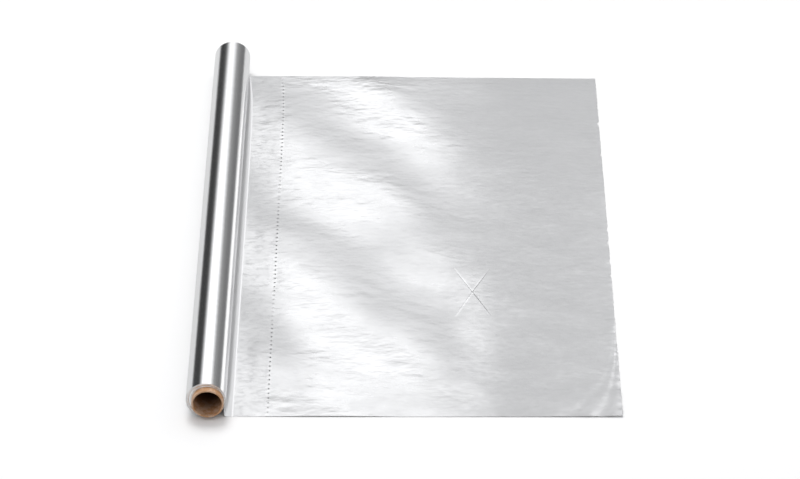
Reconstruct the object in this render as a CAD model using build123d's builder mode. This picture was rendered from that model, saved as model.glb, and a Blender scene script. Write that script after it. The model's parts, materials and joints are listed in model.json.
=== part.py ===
# A roll of grill liner foil lying on its side, with one liner pulled off it and out over the surface
# to its right. X runs from the roll towards the free edge of that liner, Y along the roll, away from
# the end that shows its core, and Z is up. The origin is in the middle of the footprint.
import os
from math import cos, radians, sin

from build123d import *

os.makedirs("parts", exist_ok=True)

# Cardboard tube
bore_radius = 12.7  # 1 inch hole through the tube
core_wall = 1.6
core_length = 614.0
core_proud = 6.3  # how far the tube stands out of the near end of the roll
core_off_centre = 1.6  # how far the tube sits from the middle of the roll, on the liner's side
core_edge_break = 0.3  # worn corners of its cut ends

# Wound foil
foil_width = 610.0  # 24 inch foil, from the near end of the roll to the far end
roll_radius = 17.75
web_thickness = 0.3  # one layer of the web, which stands in for 0.03 mm of foil
shown_turns = 2  # turns of the spiral gap that shows between bundles of layers on each end
turn_gap = 0.2
turn_gap_depth = 0.6
turn_margin = 0.25  # whole foil kept inside the first gap and outside the last one

# Way of the web from the roll down to the surface
leave_angle = 15.0  # how far below the roll's widest point the web leaves it
parting_angle = 5.0  # further turn of the roll before a gap opens behind the web
bend_radius = 6.5  # where the falling web turns out over the surface

# Pulled-out liner
first_tear_line = 53.5  # from the roll's axis to the perforation at this liner's end
liner_length = 314.0  # from one perforation to the next, which is torn and makes the free edge
drawn_in_at_bend = 7.4  # how far crumpling draws the liner's far edge in from the far end of the roll
drawn_in_at_free_edge = 12.5
slot_pitch = 7.0
slots_to_a_row = 85
slot_length = 2.6
slot_width = 0.8

# Crossed slits in the liner
slits_from_axis = 237.1
slits_from_near_edge = 199.6
slit_length = 88.0
slit_width = 0.3
slit_angle = 23.2  # of each slit to the roll's axis

# Places that follow from the sizes
core_radius = bore_radius + core_wall
free_edge_from_axis = first_tear_line + liner_length
roll_x = (roll_radius - free_edge_from_axis) / 2
free_edge_x = roll_x + free_edge_from_axis
foil_near_y = (core_proud - foil_width) / 2
foil_far_y = foil_near_y + foil_width
roll_centre = Vector(roll_x, roll_radius)
core_centre = roll_centre + Vector(core_off_centre, 0)
near_end = Plane.XZ.offset(-foil_near_y)
far_end = Plane.XZ.offset(-foil_far_y)


def around(centre, radius, degrees):
    # the point on a circle at an angle, which is measured from +X towards +Z
    return centre + Vector(radius * cos(radians(degrees)), radius * sin(radians(degrees)))


# The last turn of the web is two half circles. The second one's centre is half a thickness nearer to
# the end of the first, so the turn starts one thickness further in than it ends, under its own end.
half_way = 180 - leave_angle
older_half_centre = around(roll_centre, web_thickness / 2, half_way)
older_half_radius = roll_radius - web_thickness / 2
parting_radius = (roll_radius - web_thickness) / cos(radians(parting_angle))
parting_point = around(roll_centre, parting_radius, -leave_angle - parting_angle)

# The web falls in a straight line from the roll until its bend takes it out flat over the surface.
height_over_bend = roll_radius - (roll_radius + bend_radius) * sin(radians(leave_angle))
fall = (height_over_bend - bend_radius - web_thickness) / cos(radians(leave_angle))
bend_centre = around(around(roll_centre, roll_radius + bend_radius, -leave_angle), fall, -leave_angle - 90)
bend_turn = 90 + leave_angle

# The gap between the bundles of layers is a spiral of half circles, which widens all the way out.
first_gap_radius = core_off_centre + core_radius + turn_margin
last_gap_radius = roll_radius - web_thickness - turn_margin - turn_gap
turn_pitch = (last_gap_radius - first_gap_radius) / shown_turns


def spiral(start_radius):
    # one side of the spiral gap, drawn from the inside out, clockwise seen from the near end
    centres = (roll_centre, roll_centre + Vector(turn_pitch / 2, 0))
    halves = [
        CenterArc(centres[half % 2], start_radius + half * turn_pitch / 2, -180 * half, -180)
        for half in range(2 * shown_turns)
    ]
    return halves[0] @ 0, halves[-1] @ 1


with BuildPart() as foil_web:
    with BuildSketch(far_end):
        with BuildLine():
            over = CenterArc(roll_centre, roll_radius, -leave_angle, 180)
            older_half = CenterArc(older_half_centre, older_half_radius, half_way, 180 - parting_angle)
            Line(older_half @ 1, parting_point)
            bend_back = CenterArc(bend_centre, bend_radius + web_thickness, half_way, bend_turn)
            Line(parting_point, bend_back @ 0)
            underside = Line(bend_back @ 1, (free_edge_x, 0))
            free_edge = Line(underside @ 1, (free_edge_x, web_thickness))
            bend_front = CenterArc(bend_centre, bend_radius, half_way, bend_turn)
            Line(free_edge @ 1, bend_front @ 1)
            Line(bend_front @ 0, over @ 0)
        make_face()
        with Locations(core_centre):
            Circle(core_radius, mode=Mode.SUBTRACT)
    extrude(amount=foil_width)

    # Gaps between the wound turns, on both ends of the roll
    for end, inwards in ((near_end, -turn_gap_depth), (far_end, turn_gap_depth)):
        with BuildSketch(end):
            with BuildLine():
                inner_start, inner_end = spiral(first_gap_radius)
                outer_start, outer_end = spiral(first_gap_radius + turn_gap)
                Line(inner_start, outer_start)
                Line(inner_end, outer_end)
            make_face()
        extrude(amount=inwards, mode=Mode.SUBTRACT)

    # Far edge of the liner, which comes in over the bend and then slants on to the free edge
    with BuildSketch():
        Polygon(
            (roll_x + roll_radius + turn_margin, foil_far_y),
            (bend_centre.X, foil_far_y - drawn_in_at_bend),
            (free_edge_x, foil_far_y - drawn_in_at_free_edge),
            (free_edge_x, foil_far_y),
            align=None,
        )
    extrude(amount=2 * roll_radius, mode=Mode.SUBTRACT)

    # Perforation of this liner, and what the torn one has left of its slots in the free edge
    with BuildSketch(Plane.XY.offset(web_thickness / 2)):
        liner_middle_y = foil_near_y + (foil_width - (drawn_in_at_bend + drawn_in_at_free_edge) / 2) / 2
        with Locations((free_edge_x - liner_length / 2, liner_middle_y)):
            with GridLocations(liner_length, slot_pitch, 2, slots_to_a_row):
                Rectangle(slot_width, slot_length)
    extrude(amount=web_thickness, both=True, mode=Mode.SUBTRACT)

    # Crossed slits
    with BuildSketch(Plane.XY.offset(web_thickness / 2)):
        with Locations((roll_x + slits_from_axis, foil_near_y + slits_from_near_edge)):
            for turned in (-slit_angle, slit_angle):
                Rectangle(slit_width, slit_length, rotation=turned)
    extrude(amount=web_thickness, both=True, mode=Mode.SUBTRACT)

foil_web.part.label = "foil_web"
export_step(foil_web.part, "parts/foil_web.step")

with BuildPart() as core_tube:
    with BuildSketch(near_end.offset(core_proud)):
        with Locations(core_centre):
            Circle(core_radius)
            Circle(bore_radius, mode=Mode.SUBTRACT)
    extrude(amount=-core_length)
    chamfer(core_tube.edges().filter_by(GeomType.CIRCLE), length=core_edge_break)

core_tube.part.label = "core_tube"
export_step(core_tube.part, "parts/core_tube.step")

for piece in (foil_web, core_tube):
    size = piece.part.bounding_box().size
    print(f"{piece.part.label}: {size.X:.1f} x {size.Y:.1f} x {size.Z:.1f} mm, {piece.part.volume:.0f} mm3")
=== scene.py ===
import json
import math

import bpy
import numpy as np
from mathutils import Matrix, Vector


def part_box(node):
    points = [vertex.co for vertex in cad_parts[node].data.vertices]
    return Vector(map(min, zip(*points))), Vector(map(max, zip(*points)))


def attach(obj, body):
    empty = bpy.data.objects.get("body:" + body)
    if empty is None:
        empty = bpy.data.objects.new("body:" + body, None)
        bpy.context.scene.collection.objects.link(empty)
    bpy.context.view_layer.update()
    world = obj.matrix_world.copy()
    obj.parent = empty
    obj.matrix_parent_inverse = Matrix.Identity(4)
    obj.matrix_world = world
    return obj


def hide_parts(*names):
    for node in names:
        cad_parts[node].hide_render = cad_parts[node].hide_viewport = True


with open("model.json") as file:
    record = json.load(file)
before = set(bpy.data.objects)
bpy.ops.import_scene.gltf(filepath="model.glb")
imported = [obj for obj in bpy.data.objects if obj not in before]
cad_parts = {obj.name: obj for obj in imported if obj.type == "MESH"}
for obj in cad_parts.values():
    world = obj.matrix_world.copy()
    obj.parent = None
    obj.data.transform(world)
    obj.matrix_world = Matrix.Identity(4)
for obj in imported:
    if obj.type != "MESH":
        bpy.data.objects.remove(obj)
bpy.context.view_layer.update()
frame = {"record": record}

mm = 0.001
degree = math.pi / 180
fullTurn = 2 * math.pi
sharpTurn = 50 * degree  # edges that turn by more than this stay sharp

# Places taken from the frame. X runs away from the roll, Y along it, Z is up.
boreMount = next(m for m in frame["record"]["mounts"] if m["name"] == "core_bore")
coreX = boreMount["pos_m"][0]  # the tube sits off the roll's centre, towards the liner
boreRadius = boreMount["dims"]["r_mm"] * mm
foilLow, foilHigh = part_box("foil_web")
coreLow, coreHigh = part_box("core_tube")
coreRadius = (coreHigh[2] - coreLow[2]) / 2
nearY, farY = foilLow[1], foilHigh[1]
foilWidth = farY - nearY
rollRadius = (foilHigh[2] - foilLow[2]) / 2  # the roll lies on the floor
rollX = foilLow[0] + rollRadius
freeEdge = foilHigh[0] - rollX  # distances across the liner are measured from the roll's axis


class Wire:
    # one output socket of a shader node, so that maths on it is written as an expression
    def __init__(self, tree, socket):
        self.tree, self.socket = tree, socket

    def maths(self, operation, *others):
        node = self.tree.nodes.new("ShaderNodeMath")
        node.operation = operation
        for place, value in zip(node.inputs, (self, *others)):
            plug(self.tree, place, value)
        return Wire(self.tree, node.outputs[0])

    def flipped(self, operation, other):
        node = self.tree.nodes.new("ShaderNodeMath")
        node.operation = operation
        plug(self.tree, node.inputs[0], other)
        plug(self.tree, node.inputs[1], self)
        return Wire(self.tree, node.outputs[0])

    def __add__(self, other):
        return self.maths("ADD", other)

    def __radd__(self, other):
        return self.maths("ADD", other)

    def __sub__(self, other):
        return self.maths("SUBTRACT", other)

    def __rsub__(self, other):
        return self.flipped("SUBTRACT", other)

    def __mul__(self, other):
        return self.maths("MULTIPLY", other)

    def __rmul__(self, other):
        return self.maths("MULTIPLY", other)

    def __truediv__(self, other):
        return self.maths("DIVIDE", other)

    def __pow__(self, other):
        return self.maths("POWER", other)


def plug(tree, place, value):
    # links a wire to a socket, or sets the socket to a plain value
    if isinstance(value, Wire):
        tree.links.new(value.socket, place)
    else:
        place.default_value = value


class Finish:
    # the nodes of one material or of the world
    def __init__(self, owner):
        owner.use_nodes = True
        self.owner, self.tree = owner, owner.node_tree
        self.tree.nodes.clear()

    def node(self, kind, settings=None, sockets=None, output=0):
        # any node: its settings are set first, then its sockets are given values or links
        made = self.tree.nodes.new("ShaderNode" + kind)
        for name, value in (settings or {}).items():
            setattr(made, name, value)
        for name, value in (sockets or {}).items():
            plug(self.tree, made.inputs[name], value)
        return Wire(self.tree, made.outputs[output]) if made.outputs else None

    def axis(self, vector, number):
        # one part of a vector: 0 is X, 1 is Y and 2 is Z
        return self.node("SeparateXYZ", None, {"Vector": vector}, number)

    def fade(self, value, low, high):
        # 0 below low, 1 above high, and smooth between them; low may also be the larger one
        return self.node("MapRange", {"interpolation_type": "SMOOTHSTEP"},
                         {"Value": value, "From Min": low, "From Max": high})

    def noise(self, where, lumps, detail=2.0, roughness=0.5):
        # cloudy noise from 0 to 1, with so many lumps to the metre along each axis
        stretched = self.node("Mapping", None, {"Vector": where, "Scale": lumps})
        return self.node("TexNoise", None, {
            "Vector": stretched, "Scale": 1.0, "Detail": detail, "Roughness": roughness})

    def blend(self, amount, first, second):
        # a colour between two others
        return self.node("Mix", {"data_type": "RGBA"}, {0: amount, 6: first, 7: second}, 2)

    def bump(self, height, distance, onto=None):
        sockets = {"Height": height, "Distance": distance, "Strength": 1.0}
        if onto:
            sockets["Normal"] = onto
        return self.node("Bump", None, sockets)

    def principled(self, sockets):
        surface = self.node("BsdfPrincipled", None, sockets)
        self.node("OutputMaterial", None, {"Surface": surface})
        return self.owner


# Camera: a long lens, looking down on the liner from well in front of the roll's near end
view = {
    "pitch": 32.31 * degree,
    "turn": 0.12 * degree,  # to the left of the roll's direction
    "lens": 173.05,
    "right": 0.1765,  # of the roll's axis
    "back": 2.7815,  # from the near edge of the foil
    "height": 1.9442,
}
camera = bpy.data.objects.new("camera", bpy.data.cameras.new("camera"))
camera.data.lens = view["lens"]
camera.location = (rollX + view["right"], nearY - view["back"], view["height"])
camera.rotation_euler = (math.pi / 2 - view["pitch"], 0, view["turn"])
bpy.context.scene.collection.objects.link(camera)
bpy.context.scene.camera = camera
bpy.context.scene.view_settings.view_transform = "Standard"
print("camera ready")


def meshPiece(name, verts, faces, uv, material, smooth=None):
    # one object at the origin, with its place in its mesh and a UV for each vertex
    mesh = bpy.data.meshes.new(name)
    mesh.from_pydata(verts.tolist(), [], faces.tolist())
    corners = np.empty(len(mesh.loops), dtype=np.int32)
    mesh.loops.foreach_get("vertex_index", corners)
    mesh.uv_layers.new(name="UVMap").data.foreach_set("uv", uv[corners].ravel())
    mesh.polygons.foreach_set("use_smooth", np.ones(len(faces), bool) if smooth is None else smooth)
    mesh.materials.append(material)
    mesh.update()
    mesh.set_sharp_from_angle(angle=sharpTurn)
    piece = bpy.data.objects.new(name, mesh)
    bpy.context.scene.collection.objects.link(piece)
    return piece


def waves(x, y, count, lengths, slant, spread, seed):
    # a sum of sines whose wavelengths lie between two lengths and whose crests run at about one
    # slant to X, each with its own phase. The sum is about one unit high.
    rng = np.random.default_rng(seed)
    wavelengths = np.exp(rng.uniform(np.log(lengths[0]), np.log(lengths[1]), count))
    headings = slant + math.pi / 2 + rng.normal(0, spread, count)
    phases = rng.uniform(0, fullTurn, count)
    total = np.zeros(np.broadcast(x, y).shape)
    for wavelength, heading, phase in zip(wavelengths, headings, phases):
        total += np.sin(fullTurn * (x * np.cos(heading) + y * np.sin(heading)) / wavelength + phase)
    return total * math.sqrt(2 / count)


def smoothStep(value, low, high):
    # 3t squared less 2t cubed, where t goes from 0 at low to 1 at high
    t = np.clip((value - low) / (high - low), 0, 1)
    return t * t * (3 - 2 * t)


# The web: the last turn on the roll, the fall to the floor, the bend and the pulled-out liner.
# Each entry for waves holds their number, their shortest and longest wavelength, the slant of their
# crests to X and its spread, and a seed.
web = {
    "thickness": 0.16 * mm,
    "leave": 15 * degree,  # below the roll's widest point
    "bend": 6.5 * mm,
    "turnColumns": 44, "fallColumns": 3, "bendColumns": 10,
    "flatSpacing": 3.45 * mm,
}
drawnIn = {  # the far edge, by the crumpling of the liner
    "bend": 7.4 * mm, "freeEdge": 12.5 * mm,
    "before": 16 * mm,  # how far before the end of the bend it starts
    "rows": 5,  # how many rows of the grid share it
}
perforation = {
    "at": 53.5 * mm,  # from the roll's axis
    "pitch": 7.0 * mm, "count": 85,
    "slot": 1.9 * mm, "width": 0.9 * mm,
    "beside": np.array([1.4, 2.6, 4.5]) * mm,  # columns of the grid on both sides of the slots
    "clear": (1.5 * mm, 2.5 * mm),  # least room before and after those columns
    "dimple": 0.02 * mm, "dimpleReach": 1.8 * mm,
    "wander": 0.3 * mm, "wanderWaves": (8, (25 * mm, 150 * mm), math.pi / 2, 0.05, 15),
}
slits = {
    "x": 237.1 * mm, "y": 199.6 * mm,  # from the roll's axis and the near edge
    "reach": 44 * mm,  # of each arm
    "angle": 23.2 * degree,  # to the roll's axis
    "gaps": {"far": (0.32 * mm, 0.42 * mm), "near": (0.15 * mm, 0.55 * mm)},  # left and right arms
    "tip": 0.02,  # least of the squared share of a gap that is left at a tip
    "parting": 1.4 * mm, "partingReach": 25 * mm,  # of the grid's lines beyond the tips
    "columns": 15,  # on each side of a slit
    "before": 30 * mm, "after": 32 * mm,  # how far off the grid is straight again
    "crossing": 0.02 * mm,  # least half width of the flap at the crossing
    "flapLift": 0.12 * mm, "flapPower": 1.5,
    "lip": 0.09 * mm, "lipWidth": 0.8 * mm, "lipPast": 2 * mm, "lipFade": 6 * mm,
}

# Ends of the parts of the web, along it: the older and the newer half of its last turn, the fall and
# the bend
olderRadius = rollRadius - web["thickness"] / 2
bendTop = (rollRadius + web["bend"]) * math.sin(web["leave"]) + web["bend"] + web["thickness"]
fallLength = (rollRadius - bendTop) / math.cos(web["leave"])
partEnds = np.cumsum([math.pi * olderRadius, math.pi * rollRadius, fallLength,
                      web["bend"] * (math.pi / 2 + web["leave"])])
turnsEnd, fallEnd, bendEnd = partEnds[1:]
bendX = (rollRadius + web["bend"]) * math.cos(web["leave"]) - fallLength * math.sin(web["leave"])
flatStart = bendEnd - bendX  # turns a distance from the roll's axis into one along the web

linerWidth = foilWidth - (drawnIn["bend"] + drawnIn["freeEdge"]) / 2
firstSlot = (linerWidth - (perforation["count"] - 1) * perforation["pitch"]) / 2  # from the near edge
slitHalfHeight = slits["reach"] * math.cos(slits["angle"])


def webSection(s):
    # the web's outer side in the XZ plane, by the distance s along it from the start of the last turn:
    # a half circle, a wider half circle, a straight fall, a bend and a flat run.
    # Gives x from the roll's axis, z, and the outward normal.
    foil, leave, bend = web["thickness"], web["leave"], web["bend"]
    part = np.searchsorted(partEnds, s, side="right")
    d = s - np.concatenate([[0], partEnds])[part]
    # angles are measured from +X towards +Z, and the web comes down them
    older = -leave - d / olderRadius
    newer = math.pi - leave - d / rollRadius
    bent = math.pi - leave + d / bend
    shiftX, shiftZ = -foil / 2 * math.cos(leave), foil / 2 * math.sin(leave)  # of the older half
    parts = [part == 0, part == 1, part == 2, part == 3]
    x = np.select(parts, [
        shiftX + olderRadius * np.cos(older),
        rollRadius * np.cos(newer),
        rollRadius * math.cos(leave) - d * math.sin(leave),
        bendX + bend * np.cos(bent)], bendX + d)
    z = rollRadius + np.select(parts, [
        shiftZ + olderRadius * np.sin(older),
        rollRadius * np.sin(newer),
        -rollRadius * math.sin(leave) - d * math.cos(leave),
        bend + foil - rollRadius + bend * np.sin(bent)], foil - rollRadius)
    normal = np.select(parts, [older, newer, -leave + 0 * d, bent - math.pi], math.pi / 2)
    return x, z, np.cos(normal), np.sin(normal)


def buildWeb(material):
    # a skin for each side of the foil, from the section, the rows of the grid and the liner's lift
    rows = perforationRows()
    s, cells = webGrid(rows)
    x, z, normalX, normalZ = webSection(s)
    y = linerRows(rows, x, s - bendEnd)
    x, z = foldedEnds(s, x, z, y - nearY)
    lift = linerLift(x, y - nearY, s - bendEnd)
    underLift = lift - web["thickness"]
    top = np.stack([rollX + x + normalX * lift, y, z + normalZ * lift], axis=-1)
    under = np.stack([rollX + x + normalX * underLift, y, z + normalZ * underLift], axis=-1)
    under[..., 2] = np.maximum(under[..., 2], 0)
    uv = np.stack([s, y - nearY], axis=-1).reshape(-1, 2)
    verts, faces, smooth = closedShell(top, under, cells)
    return meshPiece("foilWeb", verts, faces, np.concatenate([uv, uv]), material, smooth)


def perforationRows():
    # rows of the grid: both ends of every slot, and the middle of every tie between two slots
    middles = nearY + firstSlot + np.arange(perforation["count"]) * perforation["pitch"]
    half = perforation["slot"] / 2
    rows = np.stack([middles - half, middles + half, middles + perforation["pitch"] / 2], 1)
    return np.concatenate([[nearY], rows.ravel()[:-1], [farY]])


def linerRows(rows, x, run):
    # y of each point. The last row is the far edge, which crumpling draws in over the fall and the
    # bend, and on to the free edge, and the rows just before it share the difference.
    started = smoothStep(run, -drawnIn["before"], 0)
    across = np.clip((x - rollRadius) / (freeEdge - rollRadius), 0, 1)
    drawn = started * (drawnIn["bend"] + (drawnIn["freeEdge"] - drawnIn["bend"]) * across)
    share = np.clip(1 + (np.arange(len(rows)) + 1 - len(rows)) / drawnIn["rows"], 0, 1)
    return rows - share * drawn


def webGrid(rows):
    # distances along the web, as columns by rows, and which cells are foil
    turn = np.linspace(0, turnsEnd, web["turnColumns"], endpoint=False)
    fall = np.linspace(turnsEnd, fallEnd, web["fallColumns"], endpoint=False)
    bend = np.linspace(fallEnd, bendEnd, web["bendColumns"], endpoint=False)
    half, beside, clear = perforation["width"] / 2, perforation["beside"], perforation["clear"]
    hole = perforation["at"] + np.concatenate([-beside[::-1], [-half, half], beside])
    before = np.arange(bendX, hole[0] - clear[0], web["flatSpacing"])
    between = np.arange(hole[-1] + clear[1], slits["x"] - slits["before"], web["flatSpacing"])
    straight = np.concatenate([turn, fall, bend, flatStart + np.concatenate([before, hole, between])])
    straight = np.repeat(straight[:, None], len(rows), 1)
    holeStart = len(turn) + len(fall) + len(bend) + len(before)
    straight[holeStart:holeStart + len(hole)] += (
        perforation["wander"] * waves(0 * rows, rows, *perforation["wanderWaves"]))
    left, inner, right = columnsPastSlits(rows, between[-1] + web["flatSpacing"])
    afterSlits = slits["x"] + slits["after"]
    lastCount = 1 + int((freeEdge - afterSlits) / web["flatSpacing"])
    last = np.repeat(np.linspace(afterSlits, freeEdge, lastCount)[1:, None], len(rows), 1)
    columns = np.concatenate([straight, flatStart + np.concatenate([left, inner, right, last])])
    columns[-1] -= tornEdge(rows)

    cells = np.ones((len(columns) - 1, len(rows) - 1), bool)
    cells[holeStart + len(beside), 1::3] = False  # every third row starts a slot
    leftSlit = len(straight) + len(left) - 1
    middleY = (rows[:-1] + rows[1:]) / 2
    inReach = np.abs(middleY - nearY - slits["y"]) < slitHalfHeight
    cells[leftSlit, inReach] = False
    cells[leftSlit + len(inner), inReach] = False
    return columns, cells


def columnsPastSlits(rows, first):
    # columns up to the left arms of the slits, between both arms, and on from the right ones. They
    # crowd towards the slits by a sine, so that the lips are round.
    spread, leftGap, rightGap = slitColumns(rows)
    easing = np.sin(np.linspace(0, math.pi / 2, slits["columns"]))[:, None]
    share = np.sin(np.linspace(-math.pi / 2, math.pi / 2, slits["columns"]))[:, None]
    leftEnd = slits["x"] - spread - leftGap
    rightStart = slits["x"] + spread + rightGap
    gap = np.where(share < 0, leftGap, rightGap)
    left = first + easing * (leftEnd - first)
    inner = slits["x"] + share * np.maximum(spread - gap, slits["crossing"])
    right = rightStart + (1 - easing[::-1]) * (slits["x"] + slits["after"] - rightStart)
    return left, inner, right


def slitColumns(y):
    # how far left and right of the crossing the arms are at each y, and half the gap of the left and
    # the right one, which tapers as a circle does. Beyond the tips the lines part again.
    off = y - nearY - slits["y"]
    inside = np.clip(np.abs(off) / slitHalfHeight, 0, 1)
    spread = math.tan(slits["angle"]) * slitHalfHeight * inside
    taper = np.sqrt(np.clip(1 - inside ** 2, slits["tip"], 1)) / 2
    outside = slits["parting"] * smoothStep(np.abs(off) - slitHalfHeight, 0, slits["partingReach"])
    left, right = (np.where(off > 0, far, near) * taper + outside
                   for far, near in zip(slits["gaps"]["far"], slits["gaps"]["near"]))
    return spread, left, right


torn = {
    "slot": 0.4 * mm,  # what is left of the old slots
    "ragged": 0.5 * mm, "raggedSeed": 12,
    "nick": 1.4 * mm, "nickOver": 1.1, "nickWaves": (12, (9 * mm, 40 * mm), 0, 0.05, 14),
}


def tornEdge(rows):
    # how far the torn free edge is set back: the halves of the old slots, a ragged tear, and nicks
    # where a sum of waves is high
    inSlot = (np.arange(len(rows)) % 3 != 0) * torn["slot"]
    ragged = np.random.default_rng(torn["raggedSeed"]).uniform(0, torn["ragged"], len(rows))
    nicks = np.maximum(waves(0 * rows, rows, *torn["nickWaves"]) - torn["nickOver"], 0) * torn["nick"]
    return inSlot + ragged + nicks


tucks = {
    "far": 6 * mm, "farReach": 40 * mm, "farRun": 70 * mm,  # along the roll and along the web
    "near": 0.7, "nearReach": 18 * mm,  # how much of the bend's round corner is folded away
}


def foldedEnds(s, x, z, Y):
    # the bend is tucked in under the roll towards its far end, and folded sharply at the near one.
    # Both die out along the roll by an exponential.
    around = np.clip((s - fallEnd) / (bendEnd - fallEnd), 0, 1)
    tucked = tucks["far"] * np.exp((Y + drawnIn["bend"] - foilWidth) / tucks["farReach"])
    tucked = tucked * around ** 2 * smoothStep(s - bendEnd, tucks["farRun"], 0)
    sharp = tucks["near"] * np.exp(-Y / tucks["nearReach"]) * np.sin(math.pi * around)
    foldX, foldZ = bendX - web["bend"], web["thickness"]
    return x + sharp * (foldX - x) - tucked, z + sharp * (foldZ - z)


swell = {
    "crest": 216 * mm,  # between crests, measured along the roll
    "slant": 1.4,  # how far a crest comes nearer for each step away from the roll
    "steepest": 415 * mm,  # where the first far side of a swell is steepest
    "height": 1.1 * mm, "farHeight": 0.75 * mm,  # at the near edge and at the far edge
    "flatter": 0.9, "flatterOver": (170 * mm, 300 * mm),  # from the roll's axis
    "stray": 9 * mm, "strayWaves": (8, (150 * mm, 350 * mm), 0.0, 1.5, 3),
    "uneven": 0.18 * mm, "unevenWaves": (14, (50 * mm, 140 * mm), -0.6, 0.5, 5),
    "rest": 1.5 * mm,  # mean height of the liner over the floor
    "lower": 0.9 * mm, "lowerOver": (140 * mm, 260 * mm),
    "looseOver": (-1 * mm, 22 * mm), "raisedOver": (-1 * mm, 55 * mm),  # from the end of the bend
    "border": 0.35, "borderOver": (-5 * mm, 45 * mm),  # share of the height at the borders
    "softness": 0.4 * mm,  # of the way it comes down to the floor
}
wrinkle = {
    "height": 0.052 * mm,
    "beside": (40, (11 * mm, 40 * mm), 0.5, 0.6, 7),  # beside the roll, up to the right
    "besideShare": 1.2, "besideOver": (130 * mm, 50 * mm),
    "beyond": (40, (13 * mm, 40 * mm), -0.4, 0.6, 8),  # further out, down to the right
    "beyondOver": (60 * mm, 140 * mm),
    "calmer": 0.6, "calmerOver": (200 * mm, 280 * mm),
    "fine": (60, (7.0 * mm, 13 * mm), 0, 1.2, 9), "fineHeight": 0.012 * mm,
    "patches": (10, (60 * mm, 160 * mm), 0, 1.5, 11),
    "patchMean": 0.75, "patchChange": 0.45, "patchLimits": (0.15, 1.8),
    "stand": 0.12 * mm, "standOver": (0, 7 * mm),  # room under them, from the end of the bend
}
edges = {
    "ruffle": 0.12 * mm, "ruffleReach": 7 * mm, "ruffleWaves": (14, (9 * mm, 50 * mm), 0, 0.1, 13),
    "corner": 1.0 * mm, "cornerReach": 60 * mm, "cornerRipple": 0.3 * mm, "ripplePitch": 26 * mm,
    "hem": 0.3 * mm, "hemReach": 0.8 * mm, "hemOver": (0, 20 * mm),
}


def linerLift(x, Y, run):
    # height of the liner over the floor, by x from the roll's axis, Y from the near edge and the run
    # from the end of the bend: swells, wrinkles, ruffles at the torn edge, a curled corner, a hem
    # along the far edge, dimples and the slits. It fades out up the bend, so that the wound turns
    # stay smooth.
    lift = swells(x, Y, run)
    lift = lift + (wrinkle["stand"] + wrinkles(x, Y)) * smoothStep(run, *wrinkle["standOver"])
    drawn = drawnIn["bend"] + (drawnIn["freeEdge"] - drawnIn["bend"]) * x / freeEdge
    hem = edges["hem"] * smoothStep(run, *edges["hemOver"])
    hem = hem * np.exp((Y + drawn - foilWidth) / edges["hemReach"])
    ruffles = edges["ruffle"] * np.exp(-np.clip(freeEdge - x, 0, None) / edges["ruffleReach"]) * (
        1 + waves(0 * x, Y, *edges["ruffleWaves"]))
    return np.maximum(lift - hem, 0) + ruffles + dimples(x, Y) + slitLift(x, Y)


def swells(x, Y, run):
    # broad swells, which go as minus the sine of the distance across their slanting crests, on the
    # liner's mean height. Both are lower on the right and along the borders, and the sum comes down
    # to the floor as a hyperbola does.
    loose = smoothStep(run, *swell["looseOver"])
    raised = smoothStep(run, *swell["raisedOver"])
    height = swell["height"] + (swell["farHeight"] - swell["height"]) * Y / foilWidth
    height = height * (1 - swell["flatter"] * smoothStep(x, *swell["flatterOver"]))
    across = Y + swell["slant"] * x + swell["stray"] * waves(x, Y, *swell["strayWaves"])
    broad = -np.sin(fullTurn * (across - swell["steepest"]) / swell["crest"]) * height
    uneven = swell["uneven"] * waves(x, Y, *swell["unevenWaves"])
    rest = swell["rest"] - swell["lower"] * smoothStep(x, *swell["lowerOver"])
    border = np.minimum(np.minimum(Y, foilWidth - drawnIn["bend"] - Y), freeEdge - x)
    held = swell["border"] + (1 - swell["border"]) * smoothStep(border, *swell["borderOver"])
    lift = (rest * raised + (broad + uneven) * loose) * held + curledCorner(x, Y)
    return 0.5 * (lift + np.sqrt(lift ** 2 + swell["softness"] ** 2)) * loose


def curledCorner(x, Y):
    # the near right corner: a bell round it, with ripples
    away = np.hypot(freeEdge - x, Y)
    ripple = edges["cornerRipple"] * np.sin(fullTurn * away / edges["ripplePitch"])
    return np.exp(-(away / edges["cornerReach"]) ** 2) * (edges["corner"] + ripple)


def wrinkles(x, Y):
    # sums of waves, which are higher in some patches than in others
    beside = wrinkle["besideShare"] * waves(x, Y, *wrinkle["beside"])
    beside = beside * smoothStep(x, *wrinkle["besideOver"])
    beyond = waves(x, Y, *wrinkle["beyond"]) * smoothStep(x, *wrinkle["beyondOver"])
    beyond = beyond * (1 - wrinkle["calmer"] * smoothStep(x, *wrinkle["calmerOver"]))
    fine = wrinkle["fineHeight"] * waves(x, Y, *wrinkle["fine"])
    patches = wrinkle["patchMean"] + wrinkle["patchChange"] * waves(x, Y, *wrinkle["patches"])
    return (wrinkle["height"] * (beside + beyond) + fine) * np.clip(patches, *wrinkle["patchLimits"])


def dimples(x, Y):
    # the foil is pushed down a little round each slot and stands up at each tie: one less a cosine
    # along the row, and a bell across it
    along = fullTurn * (Y - firstSlot) / perforation["pitch"]
    aside = (x - perforation["at"]) / perforation["dimpleReach"]
    return perforation["dimple"] * (1 - np.cos(along)) * np.exp(-aside ** 2)


def slitLift(x, Y):
    # the narrow flaps over and under the crossing stand a lip's height above the foil beside them,
    # and rise towards their tips by a power of the distance
    dx, dy = x - slits["x"], Y - slits["y"]
    along = np.hypot(dx, dy)
    inside = (np.abs(dy) * math.tan(slits["angle"]) - np.abs(dx)) * math.cos(slits["angle"])
    reached = smoothStep(slits["reach"] + slits["lipPast"] - along, 0, slits["lipFade"])
    rise = np.clip(1 - along / slits["reach"], 0, 1) ** slits["flapPower"]
    return (slits["lip"] * reached + slits["flapLift"] * rise) * (
        0.5 + 0.5 * np.tanh(inside / slits["lipWidth"]))


def quads(chosen, a, b, c, d):
    return np.stack([a[chosen], b[chosen], c[chosen], d[chosen]], axis=-1)


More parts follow.
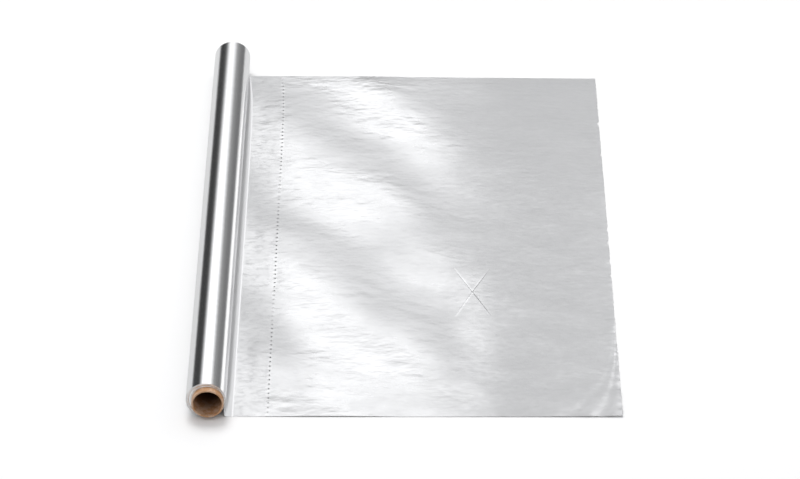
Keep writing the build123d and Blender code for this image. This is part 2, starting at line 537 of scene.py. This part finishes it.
def closedShell(top, under, cells):
    # two skins with the same grid, joined by walls wherever foil ends: at the grid's border and
    # round every cell that is left out
    columns, rows = top.shape[:2]
    toUnder = columns * rows
    index = np.arange(toUnder).reshape(columns, rows)
    a, b, c, d = index[:-1, :-1], index[1:, :-1], index[1:, 1:], index[:-1, 1:]
    skins = [quads(cells, a, b, c, d), quads(cells, a, d, c, b) + toUnder]
    padded = np.pad(cells, 1)
    # the cell beyond each side, and the corners there: across the columns, then across the rows
    sides = [(padded[:-2, 1:-1], a, d), (padded[2:, 1:-1], c, b),
             (padded[1:-1, :-2], b, a), (padded[1:-1, 2:], d, c)]
    walls = [quads(cells & ~beyond, first, second, second + toUnder, first + toUnder)
             for beyond, first, second in sides]
    faces = np.concatenate(skins + walls)
    smooth = np.zeros(len(faces), bool)
    smooth[:2 * len(skins[0])] = True
    return np.concatenate([top.reshape(-1, 3), under.reshape(-1, 3)]), faces, smooth


# The lumps of each noise are to the metre, along and across the web
foilFinish = {
    "colour": (0.87, 0.875, 0.88, 1),
    "grain": (60, 4200, 1), "rollGrain": 0.06, "webGrain": 0.05,
    "rollRoughness": 0.16,
    "dents": (70, 22, 1), "dentHeight": 0.04 * mm,
    "bendRoughness": 0.38, "intoBend": 1 * mm,  # how far into it the roll's finish ends
    "creaseRoughness": 0.26, "creaseOver": (-0.4 * mm, 0.5 * mm),  # from the end of the bend
    "crumpledOver": (0.9 * mm, 1.8 * mm),  # also from there
    "linerRoughness": 0.25, "leastRoughness": 0.22,
    "swellRoughness": 0.15, "swellPower": 1.8,  # added along the steep sides of the swells
    "besideRoughness": 0.05, "besideOver": (75 * mm, 30 * mm),  # added beside the roll
    "rightRoughness": 0.56, "rightOver": (175 * mm, 300 * mm),  # of the right third
    "farRightRoughness": 0.12, "farOver": (330 * mm, 580 * mm),  # added in its far part
    "mottles": (22, 40, 1), "mottled": 0.12, "rightMottled": 0.3,
    "speckles": (130, 210, 1), "speckled": 0.06, "besideSpeckled": 0.55, "rightSpeckled": 0.4,
    "ripples": (60, 120, 1), "rippleHeight": 0.3 * mm,
    "creases": (150, 240, 1), "creaseHeight": 0.13 * mm, "besideCreased": 0.8,
    "bendBumps": 0.1, "rightBumps": 0.7,  # share left in the bend, and added on the right
    # places that are crumpled more finely or more smoothly than the rest: x from the roll's axis,
    # y from the near edge, half of the size along each, and the change in roughness
    "places": [
        (178 * mm, 290 * mm, 62 * mm, 62 * mm, 0.09),
        (162 * mm, 605 * mm, 55 * mm, 45 * mm, -0.08),
        (178 * mm, 20 * mm, 50 * mm, 45 * mm, 0.05),
        (240 * mm, 125 * mm, 28 * mm, 140 * mm, -0.08),
    ],
    "placeFade": (1.15, 0.1),
}
bentSwells = {  # the steep sides of the swells as the finish sees them
    "lumps": (9, 9, 9), "stray": 90 * mm,
    "nearest": (-100 * mm, -170 * mm), "nearestFrom": (60 * mm, 110 * mm), "nearestShare": 0.75,
}
shine = {  # how much smoother than the foil beside them these are
    "tornEdge": 0.16, "tornEdgeOver": (8 * mm, 1 * mm), "ticks": (30, 90, 1), "tickFade": (0.48, 0.66),
    "cornerLength": 45 * mm,  # along the free edge, in which a curve comes nearer by the factor e
    "curves": [(27 * mm, (11 * mm, 1 * mm), 0.15), (58 * mm, (15 * mm, 2 * mm), 0.08)],
    "corner": 0.1, "cornerOver": (14 * mm, 5 * mm),
    "rims": 0.035, "farRims": 0.06, "farRimsOver": (420 * mm, 560 * mm),
    "rimFade": (0.2, -0.7), "rimOver": (2.6 * mm, 1.2 * mm),
    "lips": 0.07, "lipFrom": 0.9 * mm, "lipOver": (1.5 * mm, 0.4 * mm),
    "lipEnds": (1 * mm, -3 * mm),  # past the slits' reach
    "darkArm": 1 * mm,  # width of the fade to the near right arm, whose lip stays dull
}
paintedSlotShade = {  # painted shade: the rims of the slots are darkened in the foil's colour, for the shade seen in and round the slots
    "colour": (0.4, 0.4, 0.4, 1),
    "fade": (0.3, 0.75), "over": (1.5 * mm, 0.8 * mm),
    "least": 0.08, "more": 0.26,
    "farOver": (560 * mm, 420 * mm), "nearOver": (20 * mm, 140 * mm),
}


def rollFoil():
    # bright foil, rolled smooth: grain lines run round the roll
    finish = Finish(bpy.data.materials.new("rollFoil"))
    where = finish.node("UVMap", {"uv_map": "UVMap"})
    grain = finish.noise(where, foilFinish["grain"])
    dents = finish.noise(where, foilFinish["dents"])
    return finish.principled({
        "Base Color": foilFinish["colour"], "Metallic": 1.0,
        "Roughness": foilFinish["rollRoughness"] + foilFinish["rollGrain"] * (grain - 0.5),
        "Normal": finish.bump(dents, foilFinish["dentHeight"])})


def webFoil():
    # The same foil where it leaves the roll, and crumpled where it lies on the floor. UV is in metres,
    # along the web from the start of its last turn and across it from the near edge.
    finish = Finish(bpy.data.materials.new("webFoil"))
    where = finish.node("UVMap", {"uv_map": "UVMap"})
    along, Y = finish.axis(where, 0), finish.axis(where, 1)
    x = along - flatStart  # from the roll's axis
    onRoll, inBend = foilFinish["rollRoughness"], foilFinish["bendRoughness"]
    liner = finish.fade(along, turnsEnd, fallEnd + foilFinish["intoBend"])
    crease = finish.fade(along - bendEnd, *foilFinish["creaseOver"])
    pulled = finish.fade(along - bendEnd, *foilFinish["crumpledOver"])
    right = finish.fade(x, *foilFinish["rightOver"])
    beside = finish.fade(x, *foilFinish["besideOver"])
    # 1 at the middle of each slot and -1 at each tie, and the distance from the row of slots
    inSlot = ((Y - firstSlot) * (fullTurn / perforation["pitch"])).maths("COSINE")
    aside = (x - perforation["at"]).maths("ABSOLUTE")

    flatRoughness = linerRoughness(finish, where, x, Y, right, beside)
    flatRoughness = flatRoughness - smoother(finish, where, x, Y, inSlot, aside)
    bend = inBend + crease * (foilFinish["creaseRoughness"] - inBend)
    bend = bend + pulled * (flatRoughness - bend)
    grain = finish.noise(where, foilFinish["grain"])
    roughness = onRoll + liner * (bend - onRoll) + foilFinish["webGrain"] * (grain - 0.5)

    # painted shade round the slots: the foil's colour is darkened there, most along the middle stretch
    # of the row
    amount = finish.fade(inSlot, *paintedSlotShade["fade"]) * finish.fade(aside, *paintedSlotShade["over"])
    amount = amount * (paintedSlotShade["least"] + paintedSlotShade["more"] * finish.fade(Y, *paintedSlotShade["farOver"])
                       * finish.fade(Y, *paintedSlotShade["nearOver"]))

    ripples = finish.noise(where, foilFinish["ripples"], detail=1.5) - 0.5
    creases = finish.noise(where, foilFinish["creases"], detail=1.0) - 0.5
    strength = foilFinish["bendBumps"] + (1 - foilFinish["bendBumps"]) * pulled
    strength = strength * (1 + foilFinish["rightBumps"] * right)
    normal = finish.bump(ripples * strength, foilFinish["rippleHeight"])
    creases = creases * strength * (1 + foilFinish["besideCreased"] * beside)
    return finish.principled({
        "Base Color": finish.blend(amount, foilFinish["colour"], paintedSlotShade["colour"]), "Metallic": 1.0,
        "Roughness": roughness, "Normal": finish.bump(creases, foilFinish["creaseHeight"], normal)})


def linerRoughness(finish, where, x, Y, right, beside):
    # the crumpling is finer along the steep sides of the swells, beside the roll and on the right,
    # which look duller for it
    mottles = finish.noise(where, foilFinish["mottles"]) - 0.5
    speckle = finish.noise(where, foilFinish["speckles"], detail=3.0, roughness=0.6) - 0.5
    dull = (foilFinish["linerRoughness"] + mottles * foilFinish["mottled"]
            + steepSides(finish, where, x, Y) ** foilFinish["swellPower"] * foilFinish["swellRoughness"]
            + beside * foilFinish["besideRoughness"] + speckle * foilFinish["speckled"]
            + speckle.maths("MAXIMUM", 0) * foilFinish["besideSpeckled"] * beside)
    dull = dull + right * (foilFinish["rightRoughness"] - dull + mottles * foilFinish["rightMottled"]
                           + speckle * foilFinish["rightSpeckled"])
    dull = dull + finish.fade(Y, *foilFinish["farOver"]) * right * foilFinish["farRightRoughness"]
    for placeX, placeY, halfX, halfY, change in foilFinish["places"]:
        offX, offY = (x - placeX) / halfX, (Y - placeY) / halfY
        off = (offX * offX + offY * offY).maths("SQRT")
        dull = dull + finish.fade(off, *foilFinish["placeFade"]) * change
    return dull.maths("MAXIMUM", foilFinish["leastRoughness"])


def steepSides(finish, where, x, Y):
    # 1 where a swell's side is steepest and 0 where it rises, as a cosine across the bent crests
    bent = (finish.noise(where, bentSwells["lumps"], detail=1.0) - 0.5) * bentSwells["stray"]
    across = Y + x * swell["slant"] + bent - swell["steepest"]
    steep = 0.5 + 0.5 * (across * (fullTurn / swell["crest"])).maths("COSINE")
    # the swell at the near edge dies out soonest
    nearest = finish.fade(across, *bentSwells["nearest"]) * finish.fade(x, *bentSwells["nearestFrom"])
    return steep * (1 - bentSwells["nearestShare"] * nearest)


def smoother(finish, where, x, Y, inSlot, aside):
    # what is smoother, and so brighter, than the foil beside it: the torn edge in places, creases
    # which curve round the near right corner, the ties of the perforation, and the slits' raised lips
    fromEdge = freeEdge - x
    ticks = finish.fade(finish.noise(where, shine["ticks"]), *shine["tickFade"])
    bright = finish.fade(fromEdge, *shine["tornEdgeOver"]) * ticks * shine["tornEdge"]
    curve = fromEdge * (Y / shine["cornerLength"]).maths("EXPONENT")
    bright = bright + finish.fade(curve, *shine["cornerOver"]) * shine["corner"]
    for middle, over, amount in shine["curves"]:
        bright = bright + finish.fade((curve - middle).maths("ABSOLUTE"), *over) * amount
    rims = finish.fade(inSlot, *shine["rimFade"]) * finish.fade(aside, *shine["rimOver"])
    rims = rims * (shine["rims"] + shine["farRims"] * finish.fade(Y, *shine["farRimsOver"]))
    dx, dy = x - slits["x"], Y - slits["y"]
    fromArm = dy.maths("ABSOLUTE") * math.tan(slits["angle"]) - dx.maths("ABSOLUTE")
    fromArm = fromArm * math.cos(slits["angle"])
    light = finish.fade((fromArm - shine["lipFrom"]).maths("ABSOLUTE"), *shine["lipOver"])
    reach = (dx * dx + dy * dy).maths("SQRT") - slits["reach"]
    dark = (finish.fade(dy, shine["darkArm"], -shine["darkArm"])
            * finish.fade(dx, -shine["darkArm"], shine["darkArm"]))
    return bright + rims + light * finish.fade(reach, *shine["lipEnds"]) * (1 - dark) * shine["lips"]


# The wound turns under the last one, with the edges of their layers on both ends
turns = {
    "bundles": 5, "proud": 0.5 * mm,
    "layers": (6, (1.3, 5.0), math.pi / 2, 0.05), "nearSeed": 21, "farSeed": 22,
    "edgePower": 0.5, "rimPower": 0.3,  # how square an edge is, and how fast the face rises to it
    "gap": 0.03 * mm,  # to the last turn
    "columns": 160, "radial": 46,
}


def buildTurns(material):
    # a closed ring: out along the near face, back along the outside, in along the far face, and
    # through the inside. Each face stands in and out with the layers, whose edges make a spiral.
    outer = rollRadius - web["thickness"] - turns["gap"]
    angle = np.linspace(0, fullTurn, turns["columns"], endpoint=False)[:, None]
    share = np.linspace(0, 1, turns["radial"])[None, :]
    radius = coreRadius + (outer - coreRadius) * share
    centre = coreX + (rollX - coreX) * share  # the tube's hole is off the roll's centre
    spiral = share * turns["bundles"] + angle / fullTurn
    layer = np.floor(spiral)
    along = layer - angle / fullTurn
    edge = np.sin(math.pi * (spiral - layer)) ** turns["edgePower"]
    held = np.sin(math.pi * share) ** turns["rimPower"]

    def face(seed):
        # how far the face is set in: the layers stand out by their own share of the height
        proud = 0.5 + 0.5 * waves(along, 0 * along, *turns["layers"], seed)
        return turns["proud"] * (1 - edge * np.clip(proud, 0, 1)) * held

    near, far = nearY + face(turns["nearSeed"]), farY - face(turns["farSeed"])
    y = np.concatenate([near, far[:, ::-1]], axis=1)
    r = np.concatenate([radius, radius[:, ::-1]], axis=1) + 0 * angle
    x = np.concatenate([centre, centre[:, ::-1]], axis=1) + r * np.cos(angle)
    verts = np.stack([x, y, rollRadius + r * np.sin(angle)], axis=-1)
    uv = np.stack([angle * rollRadius + 0 * r, y - nearY + r], axis=-1)
    return torusPiece("foilTurns", verts, uv, material)


def torusPiece(name, verts, uv, material):
    # a grid closed in both directions. Rows run round the section, columns round the axis.
    columns, rows = verts.shape[:2]
    index = np.arange(columns * rows).reshape(columns, rows)
    nextColumn, nextRow = np.roll(index, -1, 0), np.roll(index, -1, 1)
    both = np.roll(nextColumn, -1, 1)
    faces = np.stack([index, nextColumn, both, nextRow], axis=-1).reshape(-1, 4)
    return meshPiece(name, verts.reshape(-1, 3), faces, uv.reshape(-1, 2), material)


# The cardboard tube
core = {
    "columns": 128, "cornerRows": 5, "faceRows": 9,
    "round": 0.35 * mm,  # worn corners
    "fuzz": 0.12 * mm, "fuzzWaves": (30, (1.2 * mm, 7 * mm), 0, 3.0, 31),
    "inside": np.array([4, 12, 30, 60, 110, 180]) * mm,  # rows along its wall, from each end
}


def buildCore(material):
    # a closed ring round the bore: near cut end, outside, far cut end, inside. The corners are
    # quarter circles, and the cut ends are a little uneven.
    angle = np.linspace(0, fullTurn, core["columns"], endpoint=False)[:, None]
    corner, inside = core["round"], core["inside"]
    bend = np.linspace(0, math.pi / 2, core["cornerRows"])
    ply = np.linspace(boreRadius + corner, coreRadius - corner, core["faceRows"] + 2)[1:-1]
    nearEnd, farEnd = coreLow[1], coreHigh[1]
    faceR = np.concatenate([boreRadius + corner - corner * np.cos(bend), ply,
                            coreRadius - corner + corner * np.sin(bend)])
    faceY = np.concatenate([corner - corner * np.sin(bend), 0 * ply, corner - corner * np.cos(bend)])
    outerWall, innerWall = np.full(2 * len(inside), coreRadius), np.full(2 * len(inside), boreRadius)
    radius = np.concatenate([faceR, outerWall, faceR[::-1], innerWall])
    y = np.concatenate([nearEnd + faceY, nearEnd + inside, (farEnd - inside)[::-1],
                        farEnd - faceY[::-1], farEnd - inside, (nearEnd + inside)[::-1]])
    inwards = np.concatenate([0 * faceR + 1, 0 * outerWall, 0 * faceR - 1, 0 * innerWall])
    r = radius[None, :] + 0 * angle
    uneven = 0.5 + 0.5 * waves(r * np.cos(angle), r * np.sin(angle), *core["fuzzWaves"])
    y = y[None, :] + inwards[None, :] * core["fuzz"] * np.clip(uneven, 0, 1)
    verts = np.stack([coreX + r * np.cos(angle), y, rollRadius + r * np.sin(angle)], axis=-1)
    uv = np.stack([angle / fullTurn + 0 * r, y - nearEnd], axis=-1)
    return torusPiece("cardboardTube", verts, uv, material)


cardboard = {
    "pale": (0.63, 0.42, 0.28, 1), "dark": (0.5, 0.26, 0.12, 1), "fibre": (0.8, 0.6, 0.46, 1),
    "paintedBoreShade": (0.085, 0.03, 0.007, 1), "paintedBoreShadeFrom": 34 * mm,  # painted shade inside the bore, which darkens the colour with depth
    "fibres": (900, 500, 900), "fibreHeight": 0.25 * mm, "fibreFade": (0.45, 0.75), "fibreShare": 0.5,
    "blotches": (180, 180, 180), "blotchFade": (0.4, 0.6),
    "roughness": 0.85,
}


def cardboardMaterial():
    # blotched brown board with paler fibres, and painted shade that darkens it down the bore
    finish = Finish(bpy.data.materials.new("cardboard"))
    place = finish.node("TexCoord", output=3)
    fibres = finish.noise(place, cardboard["fibres"], detail=5.0, roughness=0.65)
    blotches = finish.fade(finish.noise(place, cardboard["blotches"]), *cardboard["blotchFade"])
    colour = finish.blend(blotches, cardboard["dark"], cardboard["pale"])
    pale = finish.fade(fibres, *cardboard["fibreFade"]) * cardboard["fibreShare"]
    colour = finish.blend(pale, colour, cardboard["fibre"])
    # painted shade: from the near end inwards the colour turns near black, for the dark inside of the
    # bore
    paintedBoreShade = finish.fade(finish.axis(place, 1), coreLow[1], coreLow[1] + cardboard["paintedBoreShadeFrom"])
    colour = finish.blend(paintedBoreShade, colour, cardboard["paintedBoreShade"])
    return finish.principled({
        "Base Color": colour, "Roughness": cardboard["roughness"],
        "Normal": finish.bump(fibres, cardboard["fibreHeight"])})


pieces = {
    "foil_web": (buildWeb(webFoil()), buildTurns(rollFoil())),
    "core_tube": (buildCore(cardboardMaterial()),),
}
for node, made in pieces.items():
    for piece in made:
        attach(piece, "root")
        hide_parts(node)
        print(piece.name, len(piece.data.polygons), "faces")
flatStart + freeEdge
print("pieces ready")


# The stage: a white floor, and a card that only the foil sees
floor = {
    "half": 1.4,  # of its side
    "whiteFrom": (0.6, 1.2),  # from the middle
    "seen": (0.94, 0.94, 0.94, 1), "mirrored": (0.69, 0.69, 0.69, 1),
}
card = {"from": 52 * mm, "height": 5 * mm, "glow": 1.2}


def buildFloor():
    # a white floor, whose edge fades into the white that the camera sees round it. The foil sees it
    # darker than the camera does, since the photo's white was lifted.
    finish = Finish(bpy.data.materials.new("whiteFloor"))
    path = finish.node("LightPath")
    place = finish.node("TexCoord", output=3)
    away = finish.node("VectorMath", {"operation": "LENGTH"}, {0: place}, 1)
    finish.principled({
        "Base Color": finish.blend(path, floor["mirrored"], floor["seen"]),
        "Roughness": 1.0, "Specular IOR Level": 0.0, "Emission Color": (1, 1, 1, 1),
        "Emission Strength": path * finish.fade(away, *floor["whiteFrom"])})
    half = floor["half"]
    flatPlane("floor", (-half, -half, 0), (half, half, 0), finish.owner)


def flatPlane(name, low, high, material):
    (x0, y0, z), (x1, y1, _) = low, high
    verts = np.array([(x0, y0, z), (x1, y0, z), (x1, y1, z), (x0, y1, z)])
    plane = meshPiece(name, verts, np.array([(0, 1, 2, 3)]), verts[:, :2], material)
    return plane


def buildCard():
    # Beside the roll's lower right side the photo shows a white reflection, of what lies low down to
    # the right. A glowing card just over the liner gives it: only reflections coming down see it.
    finish = Finish(bpy.data.materials.new("whiteCard"))
    fromBelow = finish.node("NewGeometry", output=6)
    glow = finish.node("Emission", None, {"Strength": card["glow"]})
    clear = finish.node("BsdfTransparent")
    finish.node("OutputMaterial", None, {
        "Surface": finish.node("MixShader", None, {0: fromBelow, 1: glow, 2: clear})})
    plane = flatPlane("whiteCard", (rollX + card["from"], nearY, card["height"]),
                      (rollX + freeEdge, farY, card["height"]), finish.owner)
    plane.visible_camera = plane.visible_diffuse = plane.visible_shadow = False


# The studio, in degrees over the horizon and by the compass, 0 behind the liner and positive to the
# right. Light comes from one large white panel behind the liner.
studio = {
    "panel": 1.31, "panelTop": (50, 33),
    "panelLeft": (-28, -10), "panelRight": (100, 80),
    "panelFoot": (21.5, 32), "footRise": 0.16,  # the foot is higher on the right, by so much a degree
    "wall": 0.05, "wallRight": 0.13, "rightEnd": (130, 80), "wallHigh": 0.12, "highFrom": (10, 26),
    "horizon": 0.8, "horizonOver": (7, -6),
    "overhead": 0.3, "overheadFrom": (40, 50),
    "side": 0.45, "sideFrom": (35, 43), "sideTo": (120, 100), "sideFoot": (3, 12), "sideTop": (50, 40),
    "blue": 1.01,  # of the light, to its red and green
    # what the roll and the liner only mirror when they are seen from other sides
    "rearLeft": (-42, -60), "rearRight": (118, 135),
    "rear": 0.5, "rearFrom": (3, 14), "rearHigh": 0.25, "rearHighFrom": (38, 55),
}
lamp = {"place": (-0.8, 2.0, 5.1), "size": 2.6, "energy": 147.0}


def buildWorld():
    # the camera sees white, and everything else the panel, the walls and the rest of the studio
    finish = Finish(bpy.data.worlds.new("studio"))
    direction = finish.node("TexCoord", output=0)
    height = finish.axis(direction, 2).maths("ARCSINE") / degree
    compass = finish.axis(direction, 0).maths("ARCTAN2", finish.axis(direction, 1)) / degree

    def tall(name):
        return finish.fade(height, *studio[name])

    def wide(name):
        return finish.fade(compass, *studio[name])

    overFoot = height - compass.maths("MAXIMUM", 0) * studio["footRise"]
    panel = (finish.fade(overFoot, *studio["panelFoot"]) * wide("panelLeft") * wide("panelRight")
             * tall("panelTop") * (studio["panel"] - studio["wall"]))
    walls = studio["wall"] + wide("panelLeft") * wide("rightEnd") * (
        studio["wallRight"] + studio["wallHigh"] * tall("highFrom"))
    horizon = tall("horizonOver") * studio["horizon"]
    rear = wide("rearLeft").maths("MAXIMUM", wide("rearRight")) * (
        tall("rearFrom") * studio["rear"] + tall("rearHighFrom") * studio["rearHigh"])
    side = wide("sideFrom") * wide("sideTo") * tall("sideFoot") * tall("sideTop") * studio["side"]
    overhead = tall("overheadFrom") * studio["overhead"]
    light = walls.maths("MAXIMUM", horizon) + panel + overhead + rear + side
    shade = finish.node("CombineXYZ", None, {"X": light, "Y": light, "Z": light * studio["blue"]})
    seen = finish.node("Background", None, {"Color": (1, 1, 1, 1), "Strength": 1.0})
    lit = finish.node("Background", None, {"Color": shade, "Strength": 1.0})
    finish.node("OutputWorld", None, {
        "Surface": finish.node("MixShader", None, {0: finish.node("LightPath"), 1: lit, 2: seen})})
    bpy.context.scene.world = finish.owner


def buildLamp():
    # one large soft lamp high behind the roll, which throws its shadow straight forwards
    light = bpy.data.lights.new("lamp", "AREA")
    light.energy, light.size = lamp["energy"], lamp["size"]
    holder = bpy.data.objects.new("lamp", light)
    holder.location = lamp["place"]
    holder.rotation_euler = Vector(lamp["place"]).to_track_quat("Z", "Y").to_euler()
    holder.visible_glossy = False
    bpy.context.scene.collection.objects.link(holder)


buildFloor()
buildCard()
buildWorld()
buildLamp()
print("stage and studio ready")
